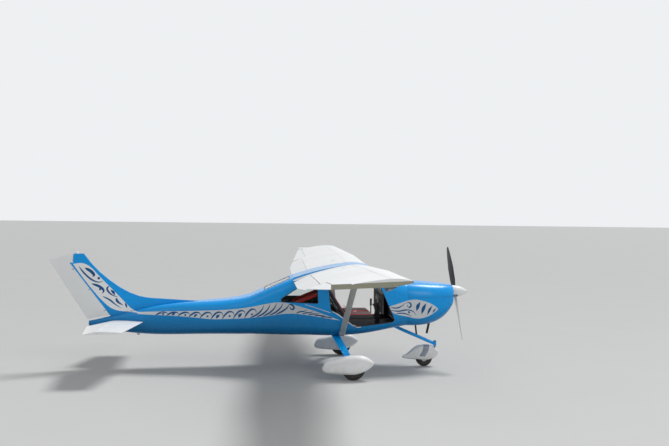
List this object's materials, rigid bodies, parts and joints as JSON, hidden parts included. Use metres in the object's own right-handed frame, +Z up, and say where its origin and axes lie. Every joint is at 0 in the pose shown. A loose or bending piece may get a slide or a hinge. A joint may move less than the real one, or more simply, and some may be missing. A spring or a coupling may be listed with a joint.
{
  "type": "microlight aircraft",
  "caption": "High-wing microlight aeroplane with open doorways, strutted wings, tractor propeller, faired nose and main wheels and a swept tail.",
  "frame": {"origin": "on the floor, under the middle of the aircraft's length and span", "axes": "+X towards the nose, +Y towards the left wing tip, +Z up"},
  "size_m": [6.5, 9.1, 1.881],
  "materials": {
    "wing_white": "gloss white paint",
    "body_blue": "gloss bright blue paint",
    "window_glass": "clear, slightly tinted",
    "strut_grey": "satin grey paint",
    "leg_blue": "gloss blue paint",
    "tyre_rubber": "matt black rubber",
    "rim_metal": "machined, satin",
    "dark_metal": "satin black paint",
    "blade_black": "satin black",
    "cabin_dark": "matt dark grey",
    "seat_fabric": "woven black with red panels",
    "engine_metal": "cast, dull",
    "steel": "sheet, brushed",
    "exhaust_black": "heat-resistant matt black",
    "lamp_clear": "clear white lens"
  },
  "bodies": {
    "airframe": {"roof_fairing": "body_blue", "cabin_shell": "body_blue", "windshield": "window_glass", "rear_window": "window_glass", "firewall": "steel", "floor": "cabin_dark", "seat_frame": "cabin_dark", "instrument_panel": "cabin_dark", "control_sticks": "dark_metal", "rudder_pedals": "dark_metal", "tail_cone": "body_blue", "fin": "body_blue", "beacon": "lamp_clear", "cowl_top": "body_blue", "cowl_bottom": "body_blue", "engine_block": "engine_metal", "exhaust": "exhaust_black", "nose_arm": "leg_blue", "nose_shock": "dark_metal", "wing_left": "wing_white", "wing_right": "wing_white", "side_window_left": "window_glass", "side_window_right": "window_glass", "seat_cushion_left": "seat_fabric", "seat_cushion_right": "seat_fabric", "seat_back_left": "seat_fabric", "seat_back_right": "seat_fabric", "stabilizer_left": "wing_white", "stabilizer_right": "wing_white", "strut_left": "strut_grey", "strut_right": "strut_grey", "gear_leg_left": "leg_blue", "gear_leg_right": "leg_blue", "main_pant_left": "wing_white", "main_pant_right": "wing_white"},
    "propeller": {"propeller": "blade_black", "spinner": "wing_white"},
    "rudder": {"rudder": "wing_white"},
    "elevator": {"elevator": "wing_white"},
    "flap_left": {"flap_left": "wing_white"},
    "flap_right": {"flap_right": "wing_white"},
    "aileron_left": {"aileron_left": "wing_white"},
    "aileron_right": {"aileron_right": "wing_white"},
    "main_wheel_left": {"main_rim_left": "rim_metal", "main_tyre_left": "tyre_rubber"},
    "main_wheel_right": {"main_rim_right": "rim_metal", "main_tyre_right": "tyre_rubber"},
    "nose_fork": {"nose_fork": "dark_metal", "nose_pant": "wing_white"},
    "nose_wheel": {"nose_rim": "rim_metal", "nose_tyre": "tyre_rubber"}
  },
  "joints": [
    {"name": "propeller_spin", "type": "hinge", "parent": "airframe", "child": "propeller", "pos_m": [3.03, 0, 1.187], "axis": [1, 0, 0], "continuous": true},
    {"name": "main_wheel_left_spin", "type": "hinge", "parent": "airframe", "child": "main_wheel_left", "pos_m": [1.316, 1.01, 0.168], "axis": [0, 1, 0], "continuous": true},
    {"name": "main_wheel_right_spin", "type": "hinge", "parent": "airframe", "child": "main_wheel_right", "pos_m": [1.316, -1.01, 0.168], "axis": [0, 1, 0], "continuous": true},
    {"name": "nose_swivel", "type": "hinge", "parent": "airframe", "child": "nose_fork", "pos_m": [2.722, 0, 0.322], "axis": [0, 0, 1], "range_deg": [-40, 40]},
    {"name": "nose_wheel_spin", "type": "hinge", "parent": "nose_fork", "child": "nose_wheel", "pos_m": [2.548, 0, 0.132], "axis": [0, 1, 0], "continuous": true},
    {"name": "rudder_swing", "type": "hinge", "parent": "airframe", "child": "rudder", "pos_m": [-2.329, 0, 0.776], "axis": [-0.6051, 0, 0.7962], "range_deg": [-25, 25]},
    {"name": "elevator_tilt", "type": "hinge", "parent": "airframe", "child": "elevator", "pos_m": [-2.262, 0, 0.716], "axis": [0, -1, 0], "range_deg": [-32, 13]},
    {"name": "aileron_left_tilt", "type": "hinge", "parent": "airframe", "child": "aileron_left", "pos_m": [0.75979, 2.9, 1.53551], "axis": [-0.0011, -0.9976, -0.0687], "range_deg": [-20, 20]},
    {"name": "aileron_right_tilt", "type": "hinge", "parent": "airframe", "child": "aileron_right", "pos_m": [0.75979, -2.9, 1.53551], "axis": [0.0011, -0.9976, 0.0687], "range_deg": [-20, 20]},
    {"name": "flap_left_tilt", "type": "hinge", "parent": "airframe", "child": "flap_left", "pos_m": [0.68748, 0.53, 1.43758], "axis": [-0.0004, -0.9994, -0.0346], "range_deg": [-6, 34]},
    {"name": "flap_right_tilt", "type": "hinge", "parent": "airframe", "child": "flap_right", "pos_m": [0.68748, -0.53, 1.43758], "axis": [0.0004, -0.9994, 0.0346], "range_deg": [-6, 34]}
  ],
  "couplings": [
    {"joint": "aileron_right_tilt", "follows": "aileron_left_tilt", "ratio": -1},
    {"joint": "flap_right_tilt", "follows": "flap_left_tilt", "ratio": 1}
  ]
}
